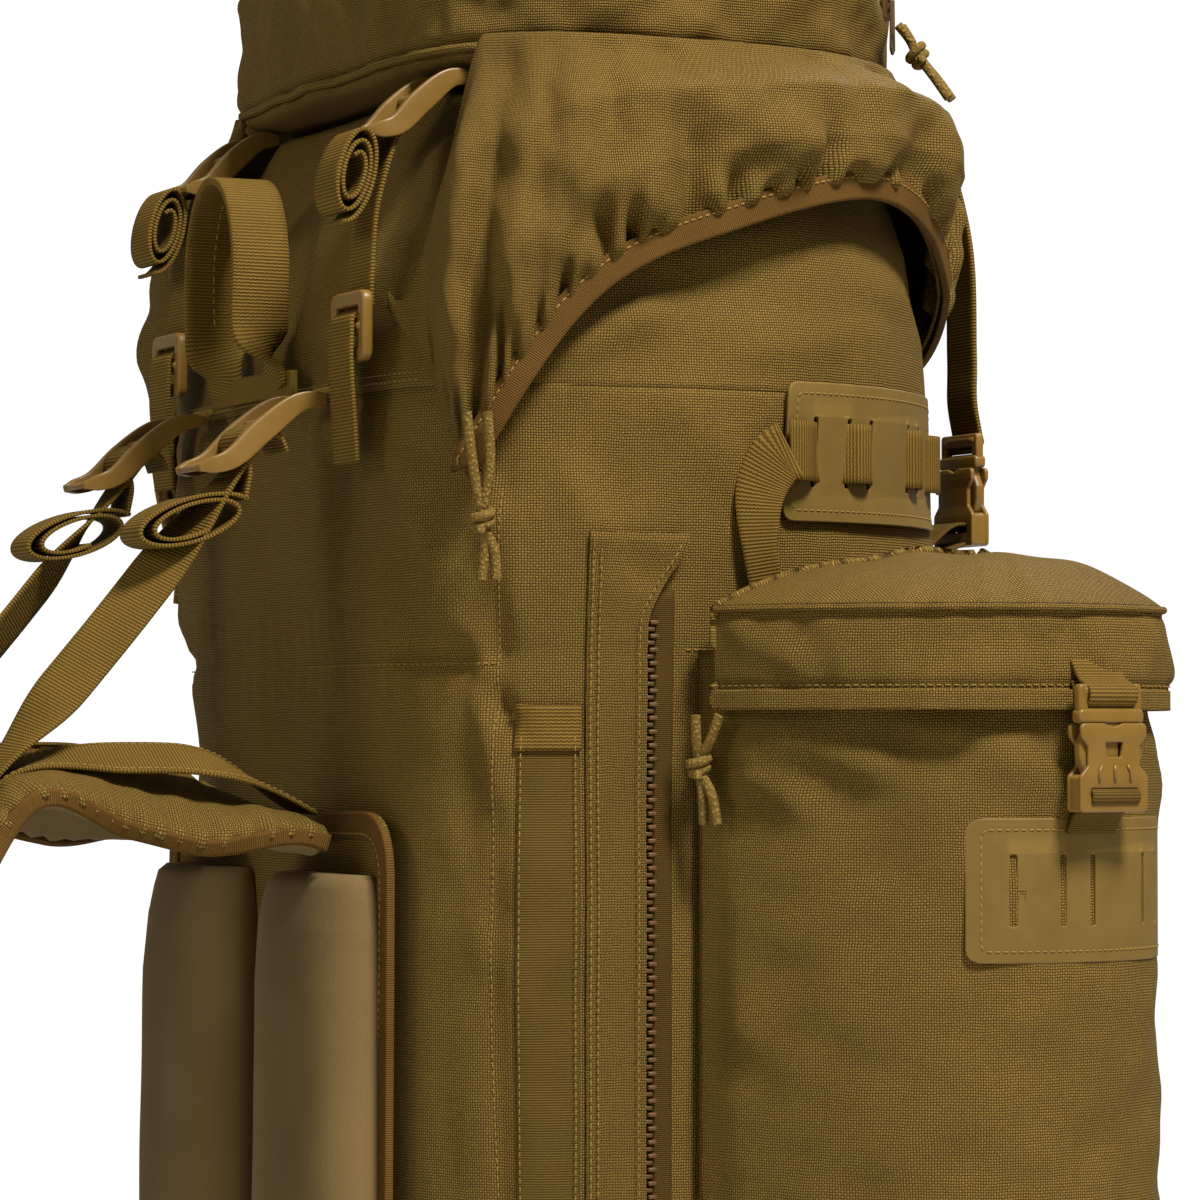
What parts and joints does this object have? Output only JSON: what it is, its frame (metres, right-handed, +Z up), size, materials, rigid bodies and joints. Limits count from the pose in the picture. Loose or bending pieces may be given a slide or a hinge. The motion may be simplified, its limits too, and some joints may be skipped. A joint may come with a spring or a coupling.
{
  "type": "hunting backpack",
  "caption": "Large framed hunting backpack with a hinged lid and gathered hood, two lidded side pouches, padded back, shoulder straps, hip belt and haul loop.",
  "frame": {"origin": "centre of the bag's flat base, on the surface it stands on", "axes": "+Z up, +Y towards the wearer's back, -X the wearer's left"},
  "size_m": [0.5966, 0.544, 0.861],
  "materials": {
    "cordura": "coarse woven nylon",
    "foam": "smooth padded cloth",
    "webbing": "ribbed nylon webbing",
    "plastic": "moulded acetal, satin",
    "patch": "moulded polymer sheet, satin",
    "cord": "braided cord",
    "zip": "moulded zip",
    "board": "plastic sheet"
  },
  "bodies": {
    "bag": {"main_bag": "cordura", "snow_collar": "cordura", "back_panel": "cordura", "pouch_left": "cordura", "pouch_right": "cordura", "lumbar_pad": "foam", "back_pad_left": "foam", "back_pad_right": "foam", "lid_strap_left": "webbing", "lid_strap_right": "webbing", "lifter_strap_left": "webbing", "lifter_strap_right": "webbing", "lower_strap_left": "webbing", "lower_strap_right": "webbing", "patch_strap_left": "webbing", "patch_strap_right": "webbing", "pouch_buckle_female_left": "plastic", "pouch_buckle_female_right": "plastic", "front_buckle_left": "plastic", "front_buckle_right": "plastic", "lash_patch_left": "patch", "lash_patch_right": "patch", "pouch_patch_left": "patch", "pouch_patch_right": "patch", "pouch_cord_left": "cord", "pouch_cord_right": "cord", "zip_left": "zip", "zip_right": "zip", "frame_sheet": "board"},
    "lid": {"lid_pocket": "cordura", "lid_hood": "cordura", "front_strap_left": "webbing", "front_strap_right": "webbing", "hood_cord_left": "cord", "hood_cord_right": "cord"},
    "lid_zip": {"lid_zip_slider": "zip", "lid_zip_cord": "cord"},
    "haul": {"haul_loop": "webbing"},
    "hip_left": {"hip_wing_left": "foam", "hip_buckle_female": "plastic"},
    "hip_right": {"hip_wing_right": "foam", "hip_buckle_male": "plastic"},
    "lid_lock_left": {"lid_ladder_lock_left": "plastic"},
    "lid_lever_left": {"lid_lever_left": "plastic"},
    "lifter_left": {"lifter_lever_left": "plastic"},
    "shoulder_left": {"shoulder_strap_left": "foam", "shoulder_anchor_left": "plastic"},
    "shoulder_lock_left": {"shoulder_lock_left": "plastic"},
    "slider_left": {"zip_slider_left": "zip"},
    "pouch_lid_left": {"pouch_lid_left": "cordura"},
    "pouch_clip_left": {"pouch_buckle_male_left": "plastic"},
    "lid_lock_right": {"lid_ladder_lock_right": "plastic"},
    "lid_lever_right": {"lid_lever_right": "plastic"},
    "lifter_right": {"lifter_lever_right": "plastic"},
    "shoulder_right": {"shoulder_strap_right": "foam", "shoulder_anchor_right": "plastic"},
    "shoulder_lock_right": {"shoulder_lock_right": "plastic"},
    "slider_right": {"zip_slider_right": "zip"},
    "pouch_lid_right": {"pouch_lid_right": "cordura"},
    "pouch_clip_right": {"pouch_buckle_male_right": "plastic"}
  },
  "joints": [
    {"name": "lid_open", "type": "hinge", "parent": "bag", "child": "lid", "pos_m": [0, 0.104, 0.77], "axis": [-1, 0, 0], "range_deg": [0, 100], "deforming": ["lid_hood", "hood_cord_left", "hood_cord_right"]},
    {"name": "lid_zip_run", "type": "hinge", "parent": "lid", "child": "lid_zip", "pos_m": [-0.0302, -0.0302, 0.812], "axis": [0, 0, 1], "range_deg": [0, 8], "deforming": ["lid_zip_cord"]},
    {"name": "haul_tilt", "type": "hinge", "parent": "bag", "child": "haul", "pos_m": [0, 0.1357, 0.649], "axis": [-1, 0, 0], "range_deg": [0, 60]},
    {"name": "lid_lock_tilt_left", "type": "hinge", "parent": "bag", "child": "lid_lock_left", "pos_m": [-0.108, 0.132, 0.6773], "axis": [1, 0, 0], "range_deg": [0, 30], "deforming": ["lid_strap_left"]},
    {"name": "lid_lever_tilt_left", "type": "hinge", "parent": "bag", "child": "lid_lever_left", "pos_m": [-0.108, 0.089, 0.7679], "axis": [1, 0, 0], "range_deg": [0, 25], "deforming": ["lid_strap_left"]},
    {"name": "lifter_tilt_left", "type": "hinge", "parent": "bag", "child": "lifter_left", "pos_m": [-0.072, 0.134, 0.638], "axis": [1, 0, 0], "range_deg": [0, 25], "deforming": ["lifter_strap_left"]},
    {"name": "shoulder_swing_left", "type": "hinge", "parent": "bag", "child": "shoulder_left", "pos_m": [-0.064, 0.1295, 0.457], "axis": [1, 0, 0], "range_deg": [-12, 20], "deforming": ["lifter_strap_left", "lower_strap_left"]},
    {"name": "shoulder_lock_tilt_left", "type": "hinge", "parent": "shoulder_left", "child": "shoulder_lock_left", "pos_m": [-0.0925, 0.274, 0.153], "axis": [1, 0, 0], "range_deg": [0, 25], "deforming": ["lower_strap_left"]},
    {"name": "hip_swing_left", "type": "hinge", "parent": "bag", "child": "hip_left", "pos_m": [-0.104, 0.1325, 0.06], "axis": [0, 0, 1], "range_deg": [-6, 35]},
    {"name": "zip_slide_left", "type": "slide", "parent": "bag", "child": "slider_left", "axis": [0, 0, 1], "range_m": [0, 0.36]},
    {"name": "pouch_lid_open_left", "type": "hinge", "parent": "bag", "child": "pouch_lid_left", "pos_m": [-0.17542, -0.08393, 0.577], "axis": [-0.3741, 0.9274, 0], "range_deg": [0, 80]},
    {"name": "pouch_clip_release_left", "type": "slide", "parent": "pouch_lid_left", "child": "pouch_clip_left", "axis": [0, 0, 1], "range_m": [0, 0.025]},
    {"name": "lid_lock_tilt_right", "type": "hinge", "parent": "bag", "child": "lid_lock_right", "pos_m": [0.108, 0.132, 0.6773], "axis": [1, 0, 0], "range_deg": [0, 30], "deforming": ["lid_strap_right"]},
    {"name": "lid_lever_tilt_right", "type": "hinge", "parent": "bag", "child": "lid_lever_right", "pos_m": [0.108, 0.089, 0.7679], "axis": [1, 0, 0], "range_deg": [0, 25], "deforming": ["lid_strap_right"]},
    {"name": "lifter_tilt_right", "type": "hinge", "parent": "bag", "child": "lifter_right", "pos_m": [0.072, 0.134, 0.638], "axis": [1, 0, 0], "range_deg": [0, 25], "deforming": ["lifter_strap_right"]},
    {"name": "shoulder_swing_right", "type": "hinge", "parent": "bag", "child": "shoulder_right", "pos_m": [0.064, 0.1295, 0.457], "axis": [1, 0, 0], "range_deg": [-12, 20], "deforming": ["lifter_strap_right", "lower_strap_right"]},
    {"name": "shoulder_lock_tilt_right", "type": "hinge", "parent": "shoulder_right", "child": "shoulder_lock_right", "pos_m": [0.0925, 0.274, 0.153], "axis": [1, 0, 0], "range_deg": [0, 25], "deforming": ["lower_strap_right"]},
    {"name": "hip_swing_right", "type": "hinge", "parent": "bag", "child": "hip_right", "pos_m": [0.104, 0.1325, 0.06], "axis": [0, 0, -1], "range_deg": [-6, 35]},
    {"name": "zip_slide_right", "type": "slide", "parent": "bag", "child": "slider_right", "axis": [0, 0, 1], "range_m": [0, 0.36]},
    {"name": "pouch_lid_open_right", "type": "hinge", "parent": "bag", "child": "pouch_lid_right", "pos_m": [0.17542, -0.08393, 0.577], "axis": [-0.3741, -0.9274, 0], "range_deg": [0, 80]},
    {"name": "pouch_clip_release_right", "type": "slide", "parent": "pouch_lid_right", "child": "pouch_clip_right", "axis": [0, 0, 1], "range_m": [0, 0.025]}
  ]
}
